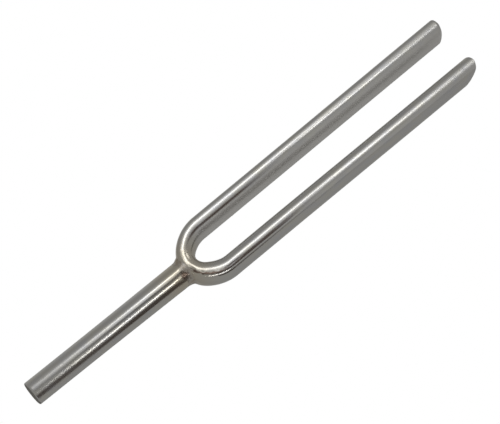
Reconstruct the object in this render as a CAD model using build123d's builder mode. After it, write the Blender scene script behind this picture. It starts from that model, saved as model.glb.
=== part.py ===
"""Tuning fork: a bar bent into a U, with a turned stem brazed to the outside of the bend.

Millimetres. The fork lies flat. +X runs from the stem towards the tine tips, Y runs across the
two tines, and +Z is square to the plane that the tines move in. The origin is under the middle
of the fork, on the surface that it lies on.
"""

from build123d import *
from math import atan2, cos, degrees, radians, sin, tan
import os

# ---- tine rod: one bar, bent into a U --------------------------------------------------------
tine_thickness = 4.85  # in the plane of the fork, the way the tines move
tine_depth = 6.8  # square to the plane of the fork
outer_edge_radius = 1.5  # rounding along the long edges on the outside of the U
inner_edge_radius = 2.35  # the same on the inside, where the bar is nearly half round
tine_spacing = 12.4  # between the centre lines of the two tines
bend_depth = 7.5  # centre line, from the start of the bend to the closed end
bend_end_radius = 5.2  # centre line, at the closed end

# ---- tips: cut at a slant, upper edge longest, and filed to tune -----------------------------
left_tine_length = 73.7  # straight length at the middle of the cut, tine on the +Y side
right_tine_length = 72.3  # the same, tine on the -Y side
left_bevel = 16.0  # degrees from square, seen from the side
right_bevel = 38.0
left_skew = 8.0  # degrees from square, seen from above: the outer edge is longer
right_skew = 3.5
tip_edge_radius = 0.5  # rounding round each cut face

# ---- stem: turned from round bar -------------------------------------------------------------
stem_length = 45.3  # from the outside of the bend to the foot
grip_radius = 3.1  # the handle's true cylinder
grip_length = 20.0  # length of that cylinder, measured from the foot
neck_radius = 3.25  # where the stem meets the bend
foot_chamfer = 0.5
stem_lean = 0.95  # degrees towards the +Y tine, as it was brazed
spigot_radius = 1.6  # the turned end that enters the bend
spigot_length = 2.8  # measured inwards from the outside of the bend

# ---- braze collar: filler metal round the joint ----------------------------------------------
collar_toe = 1.6  # reach along the stem, from the outside of the bend
collar_rise = 1.25  # reach round the bend, measured along the stem's axis
collar_width = 0.85  # how far it stands out from the stem where it ends on the bend
collar_curve = 5.1  # radius of its concave face
collar_half_depth = 3.3  # filed nearly flush with the bar's upper and lower faces
collar_root = 0.5  # how far the ring is drawn into the bar and the stem before they are cut away

# ---- worked out from the above ---------------------------------------------------------------
half_spacing = tine_spacing / 2
mid_height = tine_depth / 2
end_offset = bend_depth - bend_end_radius
bend_side_radius = (end_offset**2 + half_spacing**2 - bend_end_radius**2) / (
    2 * (half_spacing - bend_end_radius)
)
bend_side_angle = degrees(atan2(end_offset, bend_side_radius - half_spacing))
blank_end = max(left_tine_length, right_tine_length) + tine_depth

# the joint is at the outside of the bend, and the bend starts at x = 0 until the fork is centred
joint_point = Vector(-bend_depth - tine_thickness / 2, 0, mid_height)
stem_direction = Vector(-cos(radians(stem_lean)), sin(radians(stem_lean)), 0)
stem_axis = Axis(joint_point, stem_direction)
# local x runs along the stem towards the foot, local y across it
stem_plane = Plane(origin=joint_point, x_dir=stem_direction, z_dir=(0, 0, 1))

# ---- tine rod --------------------------------------------------------------------------------
with BuildPart() as tine_rod:
    with BuildLine(Plane.XY.offset(mid_height)) as centre_line:
        left_run = Line((blank_end, half_spacing), (0, half_spacing))
        left_side = JernArc(left_run @ 1, left_run % 1, bend_side_radius, bend_side_angle)
        closed_end = JernArc(left_side @ 1, left_side % 1, bend_end_radius, 180 - 2 * bend_side_angle)
        right_side = JernArc(closed_end @ 1, closed_end % 1, bend_side_radius, bend_side_angle)
        Line(right_side @ 1, (blank_end, -half_spacing))
    # local x of the section points away from the gap
    with BuildSketch(Plane(origin=left_run @ 0, x_dir=(0, 1, 0), z_dir=left_run % 0)) as section:
        Rectangle(tine_thickness, tine_depth)
        fillet(section.vertices().group_by(Axis.X)[-1], outer_edge_radius)
        fillet(section.vertices().group_by(Axis.X)[0], inner_edge_radius)
    sweep(path=centre_line.line)

    # slanted tips
    for side, length, bevel, skew in (
        (1, left_tine_length, left_bevel, left_skew),
        (-1, right_tine_length, right_bevel, right_skew),
    ):
        tip_cut = Plane(
            origin=(length, side * half_spacing, mid_height),
            z_dir=(1, -side * tan(radians(skew)), -tan(radians(bevel))),
        )
        with BuildSketch(tip_cut):
            Circle(2 * tine_thickness)
        extrude(amount=3 * tine_depth, mode=Mode.SUBTRACT)
        fillet(tine_rod.faces().filter_by(tip_cut).edges(), tip_edge_radius)

    # blind socket for the stem's spigot
    with BuildSketch(Plane(origin=joint_point, z_dir=stem_direction)):
        Circle(spigot_radius)
    extrude(amount=-spigot_length, mode=Mode.SUBTRACT)

# ---- stem ------------------------------------------------------------------------------------
# The neck runs on inside the bend. Taking the tine rod away leaves the spigot, which fills the
# socket, and copes the neck to fit the rounded outside of the bar.
with BuildPart() as stem:
    with BuildSketch(stem_plane):
        with BuildLine():
            Polyline(
                (-spigot_length, 0),
                (-spigot_length, neck_radius),
                (0, neck_radius),
                (stem_length - grip_length, grip_radius),
                (stem_length - foot_chamfer, grip_radius),
                (stem_length, grip_radius - foot_chamfer),
                (stem_length, 0),
                close=True,
            )
        make_face()
    revolve(axis=stem_axis)
    add(tine_rod.part, mode=Mode.SUBTRACT)

# ---- braze collar ----------------------------------------------------------------------------
with BuildPart() as braze_collar:
    with BuildSketch(stem_plane):
        with BuildLine():
            toe = (collar_toe, neck_radius - 0.05)
            heel = (-collar_rise, neck_radius + collar_width)
            RadiusArc(toe, heel, collar_curve)
            Polyline(
                heel,
                (-collar_rise - collar_root, neck_radius + collar_width),
                (-collar_rise - collar_root, neck_radius - collar_root),
                (collar_toe, neck_radius - collar_root),
                toe,
            )
        make_face()
    revolve(axis=stem_axis)
    with BuildSketch(Plane.XY.offset(mid_height)):
        Rectangle(3 * bend_depth, 3 * bend_depth)
    extrude(amount=collar_half_depth, both=True, mode=Mode.INTERSECT)
    add(tine_rod.part, mode=Mode.SUBTRACT)
    add(stem.part, mode=Mode.SUBTRACT)

# ---- centre the fork over the origin and write each piece -------------------------------------
os.makedirs("parts", exist_ok=True)
whole = Compound([tine_rod.part, stem.part, braze_collar.part]).bounding_box()
to_origin = Pos(-whole.center().X, -whole.center().Y, -whole.min.Z)
for name, piece in (("tine_rod", tine_rod), ("stem", stem), ("braze_collar", braze_collar)):
    piece.part = to_origin * piece.part
    piece.part.label = name
    export_step(piece.part, f"parts/{name}.step")
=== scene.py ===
"""A nickel-plated steel tuning fork lying on a white table, in soft studio light.

Metres, in the frame's axes: +X from the stem towards the tips, Y across the tines, +Z up. The
three pieces of the fork are fine meshes over the CAD solids, with the small unevenness of a
hand-finished fork. Each mesh carries an attribute named "straight": a point's place in the piece
as if it were straight, which keeps the grain running along the metal.
"""

import math

import bmesh
import bpy
import numpy as np
from mathutils import Matrix, Vector, noise


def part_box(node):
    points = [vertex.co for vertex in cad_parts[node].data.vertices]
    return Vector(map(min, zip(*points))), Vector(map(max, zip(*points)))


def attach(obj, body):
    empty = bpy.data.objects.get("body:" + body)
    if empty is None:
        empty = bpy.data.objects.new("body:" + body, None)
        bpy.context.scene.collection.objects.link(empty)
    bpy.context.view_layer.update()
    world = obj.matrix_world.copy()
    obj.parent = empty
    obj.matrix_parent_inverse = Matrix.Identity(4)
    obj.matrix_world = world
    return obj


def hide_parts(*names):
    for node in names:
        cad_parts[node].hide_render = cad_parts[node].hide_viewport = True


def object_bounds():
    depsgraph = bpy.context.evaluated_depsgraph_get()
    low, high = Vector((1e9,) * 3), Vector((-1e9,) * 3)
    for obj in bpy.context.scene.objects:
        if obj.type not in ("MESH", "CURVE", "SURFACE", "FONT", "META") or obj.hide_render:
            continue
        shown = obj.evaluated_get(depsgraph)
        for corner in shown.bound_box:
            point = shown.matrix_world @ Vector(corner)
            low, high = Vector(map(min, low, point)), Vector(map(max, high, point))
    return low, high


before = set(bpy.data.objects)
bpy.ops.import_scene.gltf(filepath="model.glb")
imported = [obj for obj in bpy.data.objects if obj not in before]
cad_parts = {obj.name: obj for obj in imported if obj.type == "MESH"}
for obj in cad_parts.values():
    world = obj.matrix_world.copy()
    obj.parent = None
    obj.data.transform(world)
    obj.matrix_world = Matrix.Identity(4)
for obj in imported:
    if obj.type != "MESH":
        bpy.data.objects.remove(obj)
cad_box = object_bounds()

MM = 0.001
UP = Vector((0, 0, 1))
TO_TIPS = Vector((1, 0, 0))  # along the fork

# ---- the fork's sizes; its places come from the frame's boxes ----------------------------------
BAR_THICKNESS = 4.85 * MM
BAR_DEPTH = 6.8 * MM
OUTER_EDGE_RADIUS = 1.05 * MM
INNER_EDGE_RADIUS = 2.15 * MM
EDGE_BLEND = 0.15  # how gradually one edge radius turns into the other, round the outline
TOP_FLAT = 1.2 * MM  # across the upper and lower faces, between the rounded edges
CROWN = 0.145  # radians: how far the bar's flats curve, as the spread of their normals
SKIN_MARGIN = 0.1 * MM  # room between the straight tines and the sides of the CAD box
BEND_DEPTH = 7.5 * MM
BEND_END_RADIUS = 5.2 * MM
BEND_UNEVENNESS = 0.05  # the +Y half of the bend is thinner, and the -Y half thicker, by this share
CLOSED_END_THINNING = 0.3 * MM  # on the side of the gap
LOWER_TWIST = math.radians(4.3)  # the -Y tine came out of the bend slightly turned
LOWER_TWIST_RUN = 9 * MM  # from the closed end
UPPER_TWIST = math.radians(2.0)  # and the +Y tine turns a little towards its tip
UPPER_TWIST_RUN = 50 * MM  # from the tip
TINE_LENGTH = {1: 73.96 * MM, -1: 72.56 * MM}  # +Y tine and -Y tine, from the start of the bend
TIP_BEVEL = {1: 13.0, -1: 33.0}  # degrees from square, seen from the side
TIP_RIDGE = {1: 0.3 * MM, -1: 0.5 * MM}  # each end face falls away on both sides of this line
TIP_FALL = {1: (0.20, 0.14), -1: (0.06, 0.40)}  # slope towards the gap, and away from it
RIDGE_ROUNDING = 0.3 * MM
TIP_ROUNDING = {1: 0.7 * MM, -1: 0.25 * MM}
TIP_CUT_BACK = 4.6 * MM  # the slanted rings of the tips start this far before each end
TIP_THINNING = 0.07 * MM
TIP_SPLAY = 0.12 * MM
TIP_CHANGE = 0.12  # both begin at this share of the bar's length from its middle
STEM_LENGTH = 45.3 * MM
GRIP_LENGTH = 20.0 * MM
GRIP_RADIUS = 3.1 * MM
NECK_RADIUS = 3.25 * MM
NECK_DEPTH = 1.9 * MM  # how far the neck runs on inside the bar
NECK_END_CHAMFER = 0.4 * MM, 0.25 * MM  # along the stem and across it, hidden inside the bar
FOOT_ROUNDING = 0.3 * MM
STEM_LEAN = math.radians(0.95)
COLLAR_TOE = 1.25 * MM
TOE_WANDER = 0.5 * MM
COLLAR_WIDTH = 0.85 * MM
COLLAR_TOP = 3.34 * MM  # its height above the joint, nearly flush with the bar

rod_low, rod_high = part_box("tine_rod")
HALF_SPACING = rod_high.y - BAR_THICKNESS / 2 - SKIN_MARGIN
HALF_WIDTH = rod_high.y
HALF_DEPTH = BAR_DEPTH / 2
MID_HEIGHT = (rod_low.z + rod_high.z) / 2
JOINT = Vector((rod_low.x, 0, MID_HEIGHT))
BEND_START = rod_low.x + BEND_DEPTH + BAR_THICKNESS / 2
END_OFFSET = BEND_DEPTH - BEND_END_RADIUS
SIDE_RADIUS = (END_OFFSET**2 + HALF_SPACING**2 - BEND_END_RADIUS**2) / (
    2 * (HALF_SPACING - BEND_END_RADIUS)
)
SIDE_ANGLE = math.atan2(END_OFFSET, SIDE_RADIUS - HALF_SPACING)
END_ANGLE = math.pi - 2 * SIDE_ANGLE
BEND_LENGTH = 2 * SIDE_RADIUS * SIDE_ANGLE + BEND_END_RADIUS * END_ANGLE
BAR_LENGTH = TINE_LENGTH[1] + BEND_LENGTH + TINE_LENGTH[-1]
CLOSED_END = TINE_LENGTH[1] + BEND_LENGTH / 2  # its place along the bar, from the +Y tip

# ---- how deep each kind of unevenness is ---------------------------------------------------------
WAVES = 0.007 * MM  # left by drawing and polishing, on bar and stem
BAR_RIPPLE = 0.0005 * MM
STEM_RIPPLE = 0.0006 * MM
FILED_LUMPS = 0.036 * MM  # where the bar was heated and filed, beside the joint
HOLLOW = 0.12 * MM  # where the braze didn't fill the joint
GROOVE = 0.030 * MM  # left by a file along the bend
FOOT_DENTS = 0.03 * MM
BRAZE_LUMPS = 0.07 * MM

# ---- how fine the meshes are ---------------------------------------------------------------------
AROUND = 128  # points round each piece
RING_STEP = 0.30 * MM
BEND_RING_STEP = 0.6 * RING_STEP
OUTLINE_STEPS = 7200  # the bar's outline is worked out this finely before points are chosen


# ---- mesh helpers --------------------------------------------------------------------------------
def noise_at(points, grain, seed):
    """Smooth noise, about -1 to 1, at each point. grain is the size of its lumps: one or three."""
    shifted = np.asarray(points) / np.asarray(grain) + seed * np.array([13.7, 7.3, 3.1])
    return np.array([noise.noise(Vector(p)) for p in shifted])


def smooth_step(x, low, high):
    """0 up to low and 1 from high, with a smooth rise between them."""
    f = np.clip((np.asarray(x, dtype=float) - low) / (high - low), 0, 1)
    return f * f * (3 - 2 * f)


def bell(x, spread):
    """1 where x is 0, falling smoothly towards 0 on both sides."""
    return np.exp(-0.5 * (x / spread) ** 2)


def near_top(height):
    """1 near the top of the bar or stem and 0 below, for a height above its middle."""
    return smooth_step(height, 1.0 * MM, 2.2 * MM)


def build_piece(name, points, straight, faces):
    """A smooth-shaded piece with its normals outwards and the "straight" attribute."""
    mesh = bpy.data.meshes.new(name)
    mesh.from_pydata([tuple(p) for p in points], [], faces)
    work = bmesh.new()
    work.from_mesh(mesh)
    bmesh.ops.recalc_face_normals(work, faces=work.faces)
    work.to_mesh(mesh)
    work.free()
    mesh.shade_smooth()
    places = mesh.attributes.new("straight", "FLOAT_VECTOR", "POINT")
    places.data.foreach_set("vector", np.asarray(straight, dtype=np.float32).ravel())
    piece = bpy.data.objects.new(name, mesh)
    bpy.context.scene.collection.objects.link(piece)
    return piece


def ring_faces(count, around, closed=False):
    """Quads between each ring and the next, and from the last ring to the first if closed."""
    faces = []
    for i in range(count if closed else count - 1):
        a, b = i * around, (i + 1) % count * around
        for j in range(around):
            k = (j + 1) % around
            faces.append((a + j, a + k, b + k, b + j))
    return faces


def closed_tube(name, rings, straights, ends):
    """A closed piece through rings of points. ends are the (point, straight place) that close it."""
    rings, straights = np.asarray(rings), np.asarray(straights)
    count, around = rings.shape[:2]
    points = np.concatenate([rings.reshape(-1, 3), [ends[0][0]], [ends[1][0]]])
    places = np.concatenate([straights.reshape(-1, 3), [ends[0][1]], [ends[1][1]]])
    first, last = count * around, count * around + 1
    faces = ring_faces(count, around)
    for j in range(around):
        k = (j + 1) % around
        faces.append((first, k, j))
        faces.append((last, (count - 1) * around + j, (count - 1) * around + k))
    return build_piece(name, points, places, faces)


def push_along_normals(piece, height_of):
    """Moves each point of a piece along its normal by height_of(points, straight places)."""
    mesh = piece.data
    count = len(mesh.vertices)
    points, normals, straight = np.empty(count * 3), np.empty(count * 3), np.empty(count * 3)
    mesh.vertices.foreach_get("co", points)
    mesh.vertex_normals.foreach_get("vector", normals)
    mesh.attributes["straight"].data.foreach_get("vector", straight)
    points, normals, straight = (a.reshape(-1, 3) for a in (points, normals, straight))
    points = points + normals * height_of(points, straight)[:, None]
    mesh.vertices.foreach_set("co", points.ravel())
    mesh.update()


# ---- unevenness that two or more pieces share ----------------------------------------------------
def polish_waves(straight, size, ripple_depth, seed):
    """Long waves of a size along the metal, and finer ripples, inwards only."""
    waves = noise_at(straight, size, seed)
    ripple = noise_at(straight, (3 * MM, 1.0 * MM, 1.0 * MM), seed + 1)
    return WAVES * (waves - 1) + ripple_depth * (ripple - 1)


def joint_hollow(points):
    """A hollow that the braze didn't fill, on top of the joint towards the -Y side."""
    half_length, half_width, aside = 1.3 * MM, 0.75 * MM, 1.7 * MM
    x, y, z = (points - np.array(JOINT)).T
    return -HOLLOW * bell(x, half_length) * bell(y + aside, half_width) * near_top(z)


# ---- the bar -------------------------------------------------------------------------------------
def flat_at(turn, centre):
    """The share of a crowned flat in the curve at each normal direction."""
    away = (turn - centre + math.pi) % (2 * math.pi) - math.pi
    return bell(away, CROWN) / (CROWN * math.sqrt(2 * math.pi))


def bar_section():
    """The bar's outline as points (u, v) and normals: u away from the gap, v up. It is drawn from
    its radius of curvature in each direction, so flats, crowns and corners run into each other."""
    turn = (np.arange(OUTLINE_STEPS) + 0.5) * 2 * math.pi / OUTLINE_STEPS - math.pi
    inner = 0.5 * (1 - np.tanh(np.cos(turn) / EDGE_BLEND))
    radius = OUTER_EDGE_RADIUS + (INNER_EDGE_RADIUS - OUTER_EDGE_RADIUS) * inner
    radius = radius + TOP_FLAT * (flat_at(turn, math.pi / 2) + flat_at(turn, -math.pi / 2))
    radius = radius + (BAR_DEPTH - 2 * OUTER_EDGE_RADIUS) * flat_at(turn, 0)
    radius = radius + (BAR_DEPTH - 2 * INNER_EDGE_RADIUS) * flat_at(turn, math.pi)
    step = 2 * math.pi / OUTLINE_STEPS
    u = np.cumsum(-radius * np.sin(turn)) * step
    v = np.cumsum(radius * np.cos(turn)) * step
    u = (u - (u.max() + u.min()) / 2) * BAR_THICKNESS / np.ptp(u)
    v = (v - (v.max() + v.min()) / 2) * BAR_DEPTH / np.ptp(v)
    # points lie closer together where the outline turns quickly
    turn_weight = 0.6
    spread = np.cumsum(radius / radius.sum() + turn_weight / OUTLINE_STEPS)
    chosen = np.searchsorted(spread, (np.arange(AROUND) + 0.5) / AROUND * spread[-1])
    return u[chosen], v[chosen], np.cos(turn[chosen]), np.sin(turn[chosen])


def centre_line():
    """(place, heading, distance along) at each ring, from near the +Y tip to near the -Y tip."""
    stations = []
    length = TINE_LENGTH[1] - TIP_CUT_BACK
    count = round(length / RING_STEP)
    for i in range(count):
        x = BEND_START + length * (1 - i / count)
        stations.append(((x, HALF_SPACING), math.pi, TINE_LENGTH[1] - (x - BEND_START)))
    along = TINE_LENGTH[1]
    centre = Vector((BEND_START, HALF_SPACING - SIDE_RADIUS))
    angle = math.pi / 2
    side_arc, end_arc = (SIDE_RADIUS, SIDE_ANGLE), (BEND_END_RADIUS, END_ANGLE)
    arcs = side_arc, end_arc, side_arc
    for n, (radius, sweep) in enumerate(arcs):
        count = round(radius * sweep / BEND_RING_STEP)
        for i in range(count):
            a = angle + sweep * i / count
            place = centre + radius * Vector((math.cos(a), math.sin(a)))
            stations.append((tuple(place), a + math.pi / 2, along + radius * sweep * i / count))
        angle += sweep
        along += radius * sweep
        if n + 1 < len(arcs):
            # the next arc starts where this one ends, in the same direction
            to_end = Vector((math.cos(angle), math.sin(angle)))
            centre = centre + (radius - arcs[n + 1][0]) * to_end
    length = TINE_LENGTH[-1] - TIP_CUT_BACK
    count = round(length / RING_STEP)
    for i in range(count + 1):
        x = BEND_START + length * i / count
        stations.append(((x, -HALF_SPACING), 2 * math.pi, along + x - BEND_START))
    return stations


def twisted(u, v, turn):
    """The outline turned about its centre, top face outwards, and kept within the bar's depth."""
    u, v = u * math.cos(turn) + v * math.sin(turn), v * math.cos(turn) - u * math.sin(turn)
    return u, v * min(1.0, HALF_DEPTH / np.abs(v).max())


def twist_at(along):
    """How far the outline is turned. The -Y tine's twist grows from the middle of the closed end
    to near the start of the tine, and the +Y tine's towards its tip."""
    lower = LOWER_TWIST * smooth_step(along, CLOSED_END, CLOSED_END + LOWER_TWIST_RUN)
    upper = UPPER_TWIST * (1 - smooth_step(along, 0, UPPER_TWIST_RUN))
    return float(lower + upper)


def worn_section(u, v, along):
    """The outline at a place along the bar: twisted on both tines, thinner and thicker on the two
    halves of the bend, thinner at the closed end, and a little thinner and further out towards
    each tip. It stays inside the box."""
    u, v = twisted(u, v, twist_at(along))
    bend_share = min(1.0, max(0.0, (along - TINE_LENGTH[1]) / BEND_LENGTH))
    u = u * (1 - BEND_UNEVENNESS * math.sin(2 * math.pi * bend_share))
    closed_end = math.sin(math.pi * bend_share) ** 6  # 1 there, and near 0 on the sides of the bend
    u = u + CLOSED_END_THINNING * closed_end * (0.5 - u / BAR_THICKNESS)
    to_tip = smooth_step(abs(along / BAR_LENGTH - 0.5), TIP_CHANGE, 0.5)
    u = u * (1 - TIP_THINNING * to_tip / BAR_THICKNESS) + TIP_SPLAY * to_tip
    return u + min(0.0, HALF_WIDTH - HALF_SPACING - u.max()), v


def bar_ring(place, heading, along, u, v):
    """A ring square to the centre line, and its place in the straight bar."""
    across, v = worn_section(u, v, along)
    out_x, out_y = math.sin(heading), -math.cos(heading)
    ring = np.stack([place[0] + across * out_x, place[1] + across * out_y, MID_HEIGHT + v], 1)
    return ring, np.stack([np.full_like(u, along), u, v], 1)


def tip_rings(side, section, along_tip):
    """Rings from the plain bar to near the middle of the slanted, rounded end face."""
    slope = math.tan(math.radians(TIP_BEVEL[side]))
    cut_x = BEND_START + TINE_LENGTH[side]
    rounding = TIP_ROUNDING[side]
    reach = rounding * math.sqrt(1 + slope**2)
    to_gap, away = TIP_FALL[side]
    u, v, normal_u, normal_v = section
    rings, straights = [], []

    def add_ring(inset, back, shrink=1.0):
        across, up = (u - inset * normal_u) * shrink, (v - inset * normal_v) * shrink
        across, up = worn_section(across, up, along_tip)
        beside = across - TIP_RIDGE[side]
        from_ridge = np.hypot(beside, RIDGE_ROUNDING) - RIDGE_ROUNDING
        fall = (away + to_gap) / 2 * from_ridge + (away - to_gap) / 2 * beside
        x = cut_x + slope * up - fall - back
        rings.append(np.stack([x, side * (HALF_SPACING + across), MID_HEIGHT + up], 1))
        straights.append(np.stack([along_tip - side * (x - cut_x), across, up], 1))

    # slanted rings before the rounding, rings round it, and shrinking rings across the end face
    for back in (1.2 * MM, 0.6 * MM):
        add_ring(0.0, reach + back)
    for a in np.linspace(0, math.pi / 2, 12):
        add_ring(rounding * (1 - math.cos(a)), reach * (1 - math.sin(a)))
    for shrink in (0.9, 0.75, 0.55, 0.35, 0.15):
        add_ring(rounding, 0.0, shrink)
    return rings, straights, (rings[-1].mean(axis=0), straights[-1].mean(axis=0))


def bend_groove(straight):
    """A shallow, ragged groove along the top of the bend on the -Y side, left by the filing."""
    start_share, from_middle, half_width = 0.62, 0.75 * MM, 0.17 * MM
    along, u, v = straight.T
    first = TINE_LENGTH[1] + BEND_LENGTH * start_share
    wander = 0.12 * MM * noise_at(straight, (1.2 * MM, 9 * MM, 9 * MM), seed=12)
    across = bell(u - from_middle - wander, half_width)
    start = smooth_step(along, first, first + 3 * MM)
    end = smooth_step(along, first + 7 * MM, first + 13 * MM)
    return -GROOVE * across * start * (1 - end) * (v > 0)


def uneven_bar(points, straight):
    """How far each point of the bar stands out, inwards only: waves along it, lumps and pits where
    the outside of the bend was heated and filed, the hollow and the groove."""
    height = polish_waves(straight, (9 * MM, 2.0 * MM, 2.0 * MM), BAR_RIPPLE, seed=1)
    from_joint = np.linalg.norm(points - np.array(JOINT), axis=1)
    heated = 1 - smooth_step(from_joint, 3.5 * MM, 11 * MM)
    heated = heated * (0.5 + smooth_step(-points[:, 1], 0, 2.5 * MM))  # more on the -Y side
    top_edge = smooth_step(straight[:, 1], -0.1 * MM, 0.8 * MM) * near_top(straight[:, 2])
    coarse, fine = 0.75 * MM, 0.38 * MM
    bumps = noise_at(points, coarse, seed=3) + 0.6 * noise_at(points, fine, seed=4)
    highest = 1.4  # few bumps reach this
    height = height + FILED_LUMPS * heated * top_edge * (bumps - highest)
    return np.minimum(height, 0) + joint_hollow(points) + bend_groove(straight)


def make_bar():
    """The bent bar: both tines and the bend."""
    section = bar_section()
    stations = centre_line()
    body = [bar_ring(*station, section[0], section[1]) for station in stations]
    left, left_straight, left_end = tip_rings(1, section, 0.0)
    right, right_straight, right_end = tip_rings(-1, section, BAR_LENGTH)
    rings = np.asarray(left[::-1] + [ring for ring, place in body] + right)
    straights = np.asarray(left_straight[::-1] + [place for ring, place in body] + right_straight)
    bar = closed_tube("bent_bar", rings, straights, (left_end, right_end))
    push_along_normals(bar, uneven_bar)
    return bar


# ---- the stem ------------------------------------------------------------------------------------
STEM_ALONG = Vector((-math.cos(STEM_LEAN), math.sin(STEM_LEAN), 0))
STEM_ACROSS = UP.cross(STEM_ALONG)


def stem_point(distance, radius, angle):
    """A point at a distance from the joint towards the foot, a radius from the stem's axis and an
    angle from straight up."""
    outwards = UP * math.cos(angle) + STEM_ACROSS * math.sin(angle)
    return JOINT + STEM_ALONG * distance + outwards * radius


def stem_profile():
    """(distance from the joint, radius) from inside the bar to the middle of the foot."""
    end_along, end_across = NECK_END_CHAMFER
    profile = [(-NECK_DEPTH, NECK_RADIUS - end_across), (-NECK_DEPTH + end_along, NECK_RADIUS)]
    taper = STEM_LENGTH - GRIP_LENGTH
    count = round(taper / RING_STEP)
    for i in range(count + 1):
        profile.append((taper * i / count, NECK_RADIUS + (GRIP_RADIUS - NECK_RADIUS) * i / count))
    straight = GRIP_LENGTH - FOOT_ROUNDING
    count = round(straight / RING_STEP)
    for i in range(1, count + 1):
        profile.append((taper + straight * i / count, GRIP_RADIUS))
    for a in np.linspace(0, math.pi / 2, 8)[1:]:
        inset = FOOT_ROUNDING * (1 - math.cos(a))
        profile.append((STEM_LENGTH - FOOT_ROUNDING * (1 - math.sin(a)), GRIP_RADIUS - inset))
    for share in (0.85, 0.65, 0.4, 0.15):
        profile.append((STEM_LENGTH, (GRIP_RADIUS - FOOT_ROUNDING) * share))
    return profile


def uneven_stem(points, straight):
    """How far each point of the stem stands out, inwards only: waves along it, small dents that
    get deeper towards the foot, and the hollow."""
    height = polish_waves(straight, (12 * MM, 2.4 * MM, 2.4 * MM), STEM_RIPPLE, seed=5)
    foot = smooth_step(straight[:, 0], 8 * MM, 40 * MM)
    threshold = 0.35  # only the noise's peaks make dents
    dents = np.clip(noise_at(straight, 1.1 * MM, seed=7) - threshold, 0, 1)
    height = height - FOOT_DENTS * foot * dents
    return np.minimum(height, 0) + joint_hollow(points)


def make_stem():
    """The turned handle, with its neck running on into the bar."""
    profile = stem_profile()
    angles = np.linspace(0, 2 * math.pi, AROUND, endpoint=False)
    rings = [[stem_point(d, r, a) for a in angles] for d, r in profile]
    straights = [[(d, r * math.sin(a), r * math.cos(a)) for a in angles] for d, r in profile]
    ends = [(stem_point(d, 0, 0), (d, 0, 0)) for d in (-NECK_DEPTH, STEM_LENGTH)]
    stem = closed_tube("turned_stem", rings, straights, ends)
    push_along_normals(stem, uneven_stem)
    return stem


# ---- the braze collar ----------------------------------------------------------------------------
def bar_face(section, radius, angle):
    """How far the outside of the bend lies from the joint, measured along the stem, at a radius
    from the stem's axis and an angle from straight up."""
    u, v = section[0], section[1]
    outside = np.flatnonzero(u > 0)
    outside = outside[np.argsort(v[outside])]
    from_middle = np.interp(radius * math.cos(angle), v[outside], u[outside])
    y = radius * math.sin(angle)
    outer_radius = BEND_END_RADIUS + BAR_THICKNESS / 2
    return math.sqrt((BEND_END_RADIUS + from_middle) ** 2 - y**2) - outer_radius


def make_collar():
    """The fillet of braze between stem and bar: concave, lumpy, and filed nearly flush on top."""
    toe_sunk, heel_sunk = 0.04 * MM, 0.10 * MM
    throat_along, throat_across = 0.08 * MM, 0.05 * MM  # out of the corner of bar and stem
    inner_step = 0.5 * MM
    section = bar_section()
    angles = np.linspace(0, 2 * math.pi, AROUND, endpoint=False)
    rings = []
    # a curve from the toe, just inside the stem's surface, to the heel, just inside the bar's
    for f in np.linspace(0, 1, 26):
        weights = ((1 - f) ** 2, 2 * f * (1 - f), f**2)
        ring = []
        for a in angles:
            # noise on a circle, so that the toe's wandering line meets itself
            wander = noise.noise(Vector((2.2 * math.cos(a), 2.2 * math.sin(a), 4.0)))
            toe = (COLLAR_TOE + TOE_WANDER * wander, NECK_RADIUS - toe_sunk)
            reach = min(NECK_RADIUS + COLLAR_WIDTH, COLLAR_TOP / max(0.01, abs(math.cos(a))))
            heel = (bar_face(section, reach, a) - heel_sunk, reach)
            corner = bar_face(section, NECK_RADIUS, a)
            throat = (corner + throat_along, NECK_RADIUS + throat_across)
            corners = (toe, throat, heel)
            ring.append([sum(w * p[i] for w, p in zip(weights, corners)) for i in (0, 1)])
        rings.append(ring)
    # the hidden inside of the ring, within the bar and the stem
    rings.append([(d - 0.35 * MM, r - inner_step) for d, r in rings[-1]])
    rings.append([(0.2 * MM, NECK_RADIUS - 0.9 * MM) for a in angles])
    rings.append([(d - 0.3 * MM, r - inner_step) for d, r in rings[0]])
    places = [(d, r, a) for ring in rings for (d, r), a in zip(ring, angles)]
    points = [stem_point(d, r, a) for d, r, a in places]
    straights = [(d, r * math.sin(a), r * math.cos(a)) for d, r, a in places]
    faces = ring_faces(len(rings), AROUND, closed=True)
    collar = build_piece("braze_fillet", points, straights, faces)
    push_along_normals(collar, uneven_collar)
    return collar


def uneven_collar(points, straight):
    """Lumps and pits of hand-run filler metal, none where they would pass the bar's faces."""
    coarse, fine = 0.9 * MM, 0.4 * MM
    bumps = noise_at(points, coarse, seed=8) + 0.5 * noise_at(points, fine, seed=9)
    room = smooth_step(HALF_DEPTH - np.abs(points[:, 2] - MID_HEIGHT), 0.0, 0.5 * MM)
    return BRAZE_LUMPS * bumps * room + joint_hollow(points)


# ---- the camera ----------------------------------------------------------------------------------
CAMERA_AZIMUTH = math.radians(-25.62)
CAMERA_ELEVATION = math.radians(67.65)
CAMERA_ROLL = math.radians(-15.67)
CAMERA_DISTANCE = 1.4276
CAMERA_AIM = Vector((1.85 * MM, 1.13 * MM, 0))  # from the middle of the fork
LENS = 440.0
SENSOR_WIDTH = 36.0


def camera_axes():
    """The camera's right, up and back."""
    a, e, r = CAMERA_AZIMUTH, CAMERA_ELEVATION, CAMERA_ROLL
    back = Vector((math.sin(a) * math.cos(e), -math.cos(a) * math.cos(e), math.sin(e)))
    level = Vector((math.cos(a), math.sin(a), 0))
    upright = back.cross(level)
    right = level * math.cos(r) + upright * math.sin(r)
    up = upright * math.cos(r) - level * math.sin(r)
    return right, up, back


def placed(axes, place):
    """A matrix with the given X, Y and Z axes and origin."""
    return Matrix.Translation(place) @ Matrix(axes).transposed().to_4x4()


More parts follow.
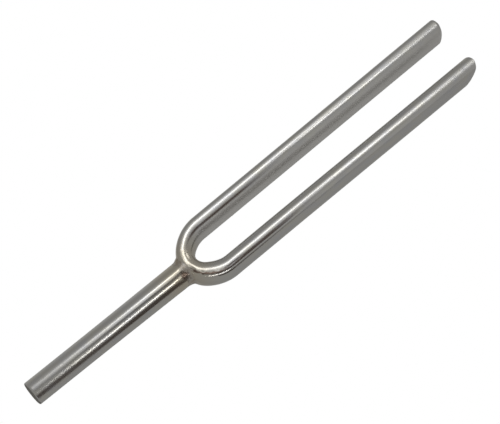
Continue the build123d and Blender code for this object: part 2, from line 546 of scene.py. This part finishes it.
def make_camera():
    data = bpy.data.cameras.new("camera")
    data.lens = LENS
    data.sensor_width = SENSOR_WIDTH
    data.clip_start = 0.01
    data.clip_end = 50.0
    camera = bpy.data.objects.new("camera", data)
    axes = camera_axes()
    aim = (cad_box[0] + cad_box[1]) / 2 + CAMERA_AIM
    camera.matrix_world = placed(axes, aim + axes[2] * CAMERA_DISTANCE)
    bpy.context.scene.collection.objects.link(camera)
    bpy.context.scene.camera = camera


# ---- light and stage -----------------------------------------------------------------------------
SLANT = 17.5  # degrees towards the tips, of the lights and of the cards over the fork


def studio_direction(angle, slant):
    """A direction given from the camera's: angle degrees round the fork's length, towards the -Y
    side, then slant degrees towards the tips."""
    back = camera_axes()[2]
    along = (TO_TIPS - back * back.x).normalized()
    across = along.cross(back)
    a, s = math.radians(angle), math.radians(slant)
    return (back * math.cos(a) + across * math.sin(a)) * math.cos(s) + along * math.sin(s)


def face_fork(obj, target, angle, slant, distance, skew=0):
    """Puts obj at a studio direction and distance from target, with its face towards it and its X
    axis along the fork, or turned from it by skew degrees."""
    z = studio_direction(angle, slant)
    x = (TO_TIPS - z * z.x).normalized()
    x = Matrix.Rotation(math.radians(skew), 3, z) @ x
    obj.matrix_world = placed((x, z.cross(x), z), target + z * distance)


def area_light(name, target, angle, slant, distance, size, radiance, colour=(1, 1, 1), skew=0):
    """A rectangular lamp, as bright as its radiance whatever its size."""
    data = bpy.data.lights.new(name, "AREA")
    data.shape = "RECTANGLE"
    data.size, data.size_y = size
    data.energy = radiance * math.pi * size[0] * size[1]
    data.color = colour
    light = bpy.data.objects.new(name, data)
    light.visible_camera = False
    bpy.context.scene.collection.objects.link(light)
    face_fork(light, target, angle, slant, distance, skew)


def glowing(name, colour):
    """A surface of the same brightness from everywhere."""
    material = bpy.data.materials.new(name)
    material.use_nodes = True
    nodes = material.node_tree.nodes
    nodes.clear()
    glow = nodes.new("ShaderNodeEmission")
    glow.inputs["Color"].default_value = (*colour, 1)
    output = nodes.new("ShaderNodeOutputMaterial")
    material.node_tree.links.new(glow.outputs[0], output.inputs["Surface"])
    material.cycles.emission_sampling = "NONE"  # leaves the render's light samples to the lights
    return material


def stage_sheet(name, size, material):
    """A flat rectangle that belongs to the stage, not to the fork."""
    x, y = size[0] / 2, size[1] / 2
    mesh = bpy.data.meshes.new(name)
    mesh.from_pydata([(-x, -y, 0), (x, -y, 0), (x, y, 0), (-x, y, 0)], [], [(0, 1, 2, 3)])
    mesh.materials.append(material)
    sheet = bpy.data.objects.new(name, mesh)
    bpy.context.scene.collection.objects.link(sheet)
    return sheet


def reflected_card(name, size, shade):
    """A dark card that only the metal's reflections see."""
    card = stage_sheet(name, size, glowing(name, shade))
    card.visible_camera = False
    card.visible_diffuse = False
    card.visible_shadow = False
    return card


def dark_card(name, target, angle, slant, distance, size, shade):
    """A reflected card that faces the fork."""
    face_fork(reflected_card(name, size, shade), target, angle, slant, distance)


def make_foot_shadow_card():
    """A dark card on the table beyond the foot, which only the foot's end face reflects: a painted
    shadow, standing in for the stem's shadow on the table.
    """
    size = 3 * MM, 14 * MM
    aside, above_table = 1.5 * MM, 0.05 * MM
    # painted shadow: a dark sheet where the stem's shadow would darken the table
    card = reflected_card("painted_shadow_beyond_foot", size, (0.12, 0.115, 0.105))
    card.location = (cad_box[0].x - size[0] / 2, aside, above_table)


def make_floor():
    """A pure white table. Reflections see the grey room instead of it."""
    side = 6.0
    floor = stage_sheet("floor", (side, side), glowing("floor_white", (1, 1, 1)))
    floor.visible_glossy = False


def make_world():
    """A grey room, brightest low down on the +Y side and with a darker band above that, which the
    camera sees as white."""
    world = bpy.data.worlds.new("studio")
    world.use_nodes = True
    tree = world.node_tree
    direction = add(tree, "ShaderNodeTexCoord", {}).outputs["Generated"]
    bright_side = (0.0, 0.8, -0.6)
    towards = calculate_vector(tree, "DOT_PRODUCT", direction, bright_side, "Value")
    stops = (
        (0.0, (0.345, 0.340, 0.330)),
        (0.25, (0.330, 0.325, 0.315)),
        (0.45, (0.290, 0.285, 0.275)),
        (0.75, (0.330, 0.325, 0.315)),
        (1.0, (0.450, 0.445, 0.430)),
    )
    ramp = colour_ramp(tree, towards, stops)
    grey = add(tree, "ShaderNodeBackground", {"Color": ramp})
    white = add(tree, "ShaderNodeBackground", {"Color": (0.97, 0.97, 0.97, 1)})
    camera_ray = add(tree, "ShaderNodeLightPath", {}).outputs["Is Camera Ray"]
    mix = add(tree, "ShaderNodeMixShader", {0: camera_ray, 1: grey.outputs[0], 2: white.outputs[0]})
    tree.links.new(mix.outputs[0], tree.nodes["World Output"].inputs["Surface"])
    world.cycles.sampling_method = "NONE"
    scene = bpy.context.scene
    scene.world = world
    scene.view_settings.view_transform = "Standard"
    scene.view_settings.look = "None"


def make_lights():
    """Strips with wide, weak glows round them on the +Y side, a small window near the stem, a weak
    glow over the tines, and dark cards on the camera's side."""
    middle = (cad_box[0] + cad_box[1]) / 2
    over_stem_end = middle - TO_TIPS * 20 * MM
    tips = middle + TO_TIPS * 48 * MM
    stem_middle = JOINT + STEM_ALONG * STEM_LENGTH / 2
    beside_stem = JOINT + STEM_ALONG * 18.5 * MM
    over_bend = Vector((-4 * MM, 0, MID_HEIGHT))
    warm = (1.0, 0.98, 0.94)
    # name, target, angle, slant, distance, size, radiance, colour
    area_light("strip_above", over_stem_end, -43.5, SLANT, 0.40, (0.090, 0.045), 2.3)
    area_light("strip_tips", tips, -35.5, SLANT, 0.11, (0.050, 0.0090), 2.3)
    area_light("strip_glow", middle, -43.5, SLANT, 0.42, (0.16, 0.20), 0.30)
    area_light("stem_glow", stem_middle, -34, SLANT, 0.25, (0.05, 0.11), 0.6)
    area_light("stem_window", beside_stem, 19, SLANT, 0.06, (0.038, 0.0048), 5.0, warm, skew=8)
    area_light("tines_glow", tips, 12, SLANT, 0.35, (0.10, 0.36), 0.08)
    # name, target, angle, slant, distance, size, shade
    dark_card("dark_over_bend", over_bend, -8, SLANT, 0.07, (0.026, 0.030), (0.060, 0.038, 0.032))
    dark_card("dim_over_stem", stem_middle, -8, SLANT, 0.31, (0.055, 0.10), (0.09, 0.087, 0.085))
    dark_card("dark_stem_side", JOINT, 50, 0, 0.27, (0.19, 0.178), (0.056, 0.043, 0.036))


# ---- materials -----------------------------------------------------------------------------------
NICKEL = (  # across its blotches
    (0.30, (0.600, 0.590, 0.545)),
    (0.50, (0.585, 0.580, 0.565)),
    (0.72, (0.555, 0.560, 0.575)),
)
# painted light: the lighter nickel for the +Y tine's side of the gap
PAINTED_LIGHT_NICKEL = (0.76, 0.755, 0.74, 1)
HEAT_STAIN = (0.62, 0.53, 0.36, 1)
# dark brown for the hollow beside the joint, and for a painted dark reflection on the bend
DARK_BROWN = (0.13, 0.085, 0.065, 1)
BRAZE = (
    (0.30, (0.40, 0.34, 0.26)),
    (0.48, (0.52, 0.48, 0.42)),
    (0.70, (0.56, 0.54, 0.51)),
)
TIP_DULLNESS = 0.09  # added to the roughness
GAP_DULLNESS = 0.26
FOOT_DULLNESS = 0.08


def add(tree, kind, inputs, **settings):
    """A new node. Each of its inputs is given a value, or a socket to link."""
    node = tree.nodes.new(kind)
    for name, value in settings.items():
        setattr(node, name, value)
    for name, value in inputs.items():
        if isinstance(value, bpy.types.NodeSocket):
            tree.links.new(value, node.inputs[name])
        else:
            node.inputs[name].default_value = value
    return node


def colour_ramp(tree, factor, stops):
    """A colour ramp's output. stops are (position, (r, g, b))."""
    ramp = add(tree, "ShaderNodeValToRGB", {"Fac": factor})
    elements = ramp.color_ramp.elements
    for element, (position, colour) in zip(elements, (stops[0], stops[-1])):
        element.position = position
        element.color = (*colour, 1)
    for position, colour in stops[1:-1]:
        elements.new(position).color = (*colour, 1)
    return ramp.outputs["Color"]


def calculate(tree, operation, a, b, c=0.0):
    """The result of a math node on numbers or sockets."""
    return add(tree, "ShaderNodeMath", {0: a, 1: b, 2: c}, operation=operation).outputs[0]


def calculate_vector(tree, operation, a, b, output):
    """The same on vectors. output is "Vector", or "Value" where the result is one number."""
    return add(tree, "ShaderNodeVectorMath", {0: a, 1: b}, operation=operation).outputs[output]


def mixed(tree, share, first, second):
    """The colour first where share is 0, second where it is 1, and a mix between."""
    first_colour, second_colour, colour_result = 6, 7, 2  # the Mix node's sockets for colours
    inputs = {"Factor": share, first_colour: first, second_colour: second}
    return add(tree, "ShaderNodeMix", inputs, data_type="RGBA").outputs[colour_result]


def varied(tree, value, pattern, amount):
    """value, more or less by half of amount where a pattern from 0 to 1 is at its ends."""
    low = calculate(tree, "SUBTRACT", value, amount / 2)
    return calculate(tree, "MULTIPLY_ADD", pattern, amount, low)


def remap(tree, value, low, high, to_low, to_high):
    """value from low..high to to_low..to_high, smoothly and held at the ends."""
    inputs = {"Value": value, "From Min": low, "From Max": high, "To Min": to_low, "To Max": to_high}
    return add(tree, "ShaderNodeMapRange", inputs, interpolation_type="SMOOTHSTEP").outputs["Result"]


def object_place(tree):
    """A point's place in the frame, in metres."""
    return add(tree, "ShaderNodeTexCoord", {}).outputs["Object"]


def xyz(tree, place):
    """The outputs "X", "Y" and "Z" of a place."""
    return add(tree, "ShaderNodeSeparateXYZ", {"Vector": place}).outputs


def straight_place(tree):
    """A point's place in the piece as if it were straight, in metres."""
    return add(tree, "ShaderNodeAttribute", {}, attribute_name="straight").outputs["Vector"]


def lumps(tree, place, size, detail=2.0):
    """Noise from 0 to 1 with lumps of a size, in metres: one number, or three for long grain."""
    scale = size if isinstance(size, tuple) else (size, size, size)
    shrunk = calculate_vector(tree, "DIVIDE", place, scale, "Vector")
    inputs = {"Vector": shrunk, "Scale": 1.0, "Detail": detail}
    return add(tree, "ShaderNodeTexNoise", inputs).outputs["Fac"]


def specks(tree, place, spacing, radius):
    """Small spots, 1 at their middles and 0 between them."""
    shrunk = calculate_vector(tree, "DIVIDE", place, (spacing, spacing, spacing), "Vector")
    cells = add(tree, "ShaderNodeTexVoronoi", {"Vector": shrunk, "Scale": 1.0}).outputs["Distance"]
    return remap(tree, cells, 0.0, radius / spacing, 1.0, 0.0)


def new_material(name):
    material = bpy.data.materials.new(name)
    material.use_nodes = True
    return material, material.node_tree


def finish_metal(tree, colour, roughness, height, depth):
    """Links a metal's shader to its colour and roughness, and to a bump of the given depth."""
    shader = tree.nodes["Principled BSDF"]
    bump = add(tree, "ShaderNodeBump", {"Height": height, "Strength": 1.0, "Distance": depth})
    tree.links.new(colour, shader.inputs["Base Color"])
    tree.links.new(roughness, shader.inputs["Roughness"])
    tree.links.new(bump.outputs["Normal"], shader.inputs["Normal"])
    shader.inputs["Metallic"].default_value = 1.0


def hollow_dark_patch(tree):
    """Near 1 in a ragged dark brown patch in the hollow beside the joint, and 0 away from it."""
    core, reach, raggedness = 0.5 * MM, 1.5 * MM, 1.2 * MM
    here = object_place(tree)
    hollow = JOINT + Vector((-0.4, -1.75, 2.8)) * MM
    away = calculate_vector(tree, "DISTANCE", here, hollow, "Value")
    away = varied(tree, away, lumps(tree, here, 0.9 * MM), raggedness)
    return remap(tree, away, core, reach, 0.85, 0.0)


def painted_reflection_line(tree, place):
    """Near 1 along a ragged line on top of the -Y half of the bend: a painted dark reflection."""
    from_middle, core, reach, raggedness = 1.05 * MM, 0.10 * MM, 0.40 * MM, 0.8 * MM
    parts = xyz(tree, place)
    starts = remap(tree, parts["X"], CLOSED_END, CLOSED_END + 2 * MM, 0.0, 1.0)
    ends = remap(tree, parts["X"], CLOSED_END + 7 * MM, CLOSED_END + 12 * MM, 1.0, 0.0)
    beside = calculate(tree, "SUBTRACT", parts["Y"], from_middle)
    beside = varied(tree, beside, lumps(tree, place, 0.8 * MM, 3.0), raggedness)
    beside = calculate(tree, "ABSOLUTE", beside, 0.0)
    line = remap(tree, beside, core, reach, 0.9, 0.0)
    line = calculate(tree, "MULTIPLY", calculate(tree, "MULTIPLY", line, starts), ends)
    return calculate(tree, "MULTIPLY", line, calculate(tree, "GREATER_THAN", parts["Z"], 0.0))


def plated_steel(name, roughness, wear_and_painted_light, grain_depth):
    """Nickel-plated steel, polished along its length. wear_and_painted_light(tree, place) gives the
    roughness added at each place, and two shares from 0 to 1: painted light, which colours the
    nickel lighter, and a painted dark reflection in dark brown, which also fills the hollow."""
    material, tree = new_material(name)
    place = straight_place(tree)
    grain = lumps(tree, place, (9 * MM, 0.22 * MM, 0.22 * MM))
    blotches = lumps(tree, place, (3.5 * MM, 1.6 * MM, 1.6 * MM), 3.0)
    pits = specks(tree, place, 1.3 * MM, 0.17 * MM)
    dullness, painted_light, dark_share = wear_and_painted_light(tree, place)
    # painted light: the nickel is coloured lighter on the +Y tine's side of the gap
    colour = mixed(tree, painted_light, colour_ramp(tree, blotches, NICKEL), PAINTED_LIGHT_NICKEL)
    # heat and flux stain the plating yellow beside the joint
    away = calculate_vector(tree, "DISTANCE", object_place(tree), JOINT, "Value")
    stain = calculate(tree, "MULTIPLY", remap(tree, away, 3 * MM, 11 * MM, 0.95, 0.0), blotches)
    colour = mixed(tree, stain, colour, HEAT_STAIN)
    # dark brown: a patch in the hollow beside the joint, and a painted dark reflection along the -Y
    # half of the bend
    dark_share = calculate(tree, "MAXIMUM", hollow_dark_patch(tree), dark_share)
    colour = mixed(tree, dark_share, colour, DARK_BROWN)
    rough = varied(tree, roughness, grain, 0.10)
    rough = varied(tree, rough, blotches, 0.10)
    rough = calculate(tree, "MULTIPLY_ADD", pits, 0.12, rough)
    rough = calculate(tree, "ADD", rough, dullness)
    height = calculate(tree, "MULTIPLY_ADD", pits, -2.0, grain)
    finish_metal(tree, colour, rough, height, grain_depth)
    return material


def bar_wear_and_painted_light(tree, place):
    """The bar is duller towards both tips, and satin on the +Y tine's side of the gap, where its
    nickel also gets painted light. A ragged line on the bend is a painted dark reflection.
    """
    parts = xyz(tree, place)
    run = 26 * MM  # how far the dullness reaches from each tip
    to_first_tip = remap(tree, parts["X"], 0.0, run, TIP_DULLNESS, 0.0)
    to_last_tip = remap(tree, parts["X"], BAR_LENGTH - run, BAR_LENGTH, 0.0, TIP_DULLNESS)
    to_tips = calculate(tree, "ADD", to_first_tip, to_last_tip)
    bend = TINE_LENGTH[1]
    first_tine = remap(tree, parts["X"], bend - 4 * MM, bend + 8 * MM, 1.0, 0.0)
    # the +Y tine's side of the gap: rougher, and painted light there colours its nickel lighter
    in_gap = remap(tree, parts["Y"], -2.1 * MM, -0.6 * MM, 1.0, 0.0)
    in_gap = calculate(tree, "MULTIPLY", in_gap, first_tine)
    dullness = calculate(tree, "MULTIPLY_ADD", in_gap, GAP_DULLNESS, to_tips)
    return dullness, in_gap, painted_reflection_line(tree, place)


def stem_wear(tree, place):
    """The stem is worn dull towards its foot by handling. It has no painted light and no painted
    dark reflection.
    """
    along = xyz(tree, place)["X"]
    return remap(tree, along, 12 * MM, 38 * MM, 0.0, FOOT_DULLNESS), 0.0, 0.0


def plated_braze(name):
    """Filler metal under the plating: lumpy, pitted, stained yellow-brown in blotches, and dark
    brown in the hollow."""
    material, tree = new_material(name)
    place = straight_place(tree)
    bumps = lumps(tree, place, 0.45 * MM, 4.0)
    blotches = lumps(tree, place, 1.1 * MM, 3.0)
    pits = specks(tree, place, 0.7 * MM, 0.16 * MM)
    colour = mixed(tree, hollow_dark_patch(tree), colour_ramp(tree, blotches, BRAZE), DARK_BROWN)
    rough = calculate(tree, "MULTIPLY_ADD", bumps, 0.25, 0.20)
    height = calculate(tree, "MULTIPLY_ADD", pits, -0.8, bumps)
    finish_metal(tree, colour, rough, height, 0.03 * MM)
    return material


# ---- put it together -----------------------------------------------------------------------------
def fit_piece(piece, node, material):
    """Gives a piece its material and lets it stand for its CAD node."""
    piece.data.materials.append(material)
    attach(piece, "root")
    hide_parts(node)


make_camera()
make_world()
make_floor()
make_foot_shadow_card()
make_lights()
bar_steel = plated_steel("plated_bar", 0.19, bar_wear_and_painted_light, grain_depth=0.0005 * MM)
stem_steel = plated_steel("plated_stem", 0.20, stem_wear, grain_depth=0.0009 * MM)
fit_piece(make_bar(), "tine_rod", bar_steel)
fit_piece(make_stem(), "stem", stem_steel)
fit_piece(make_collar(), "braze_collar", plated_braze("plated_braze"))
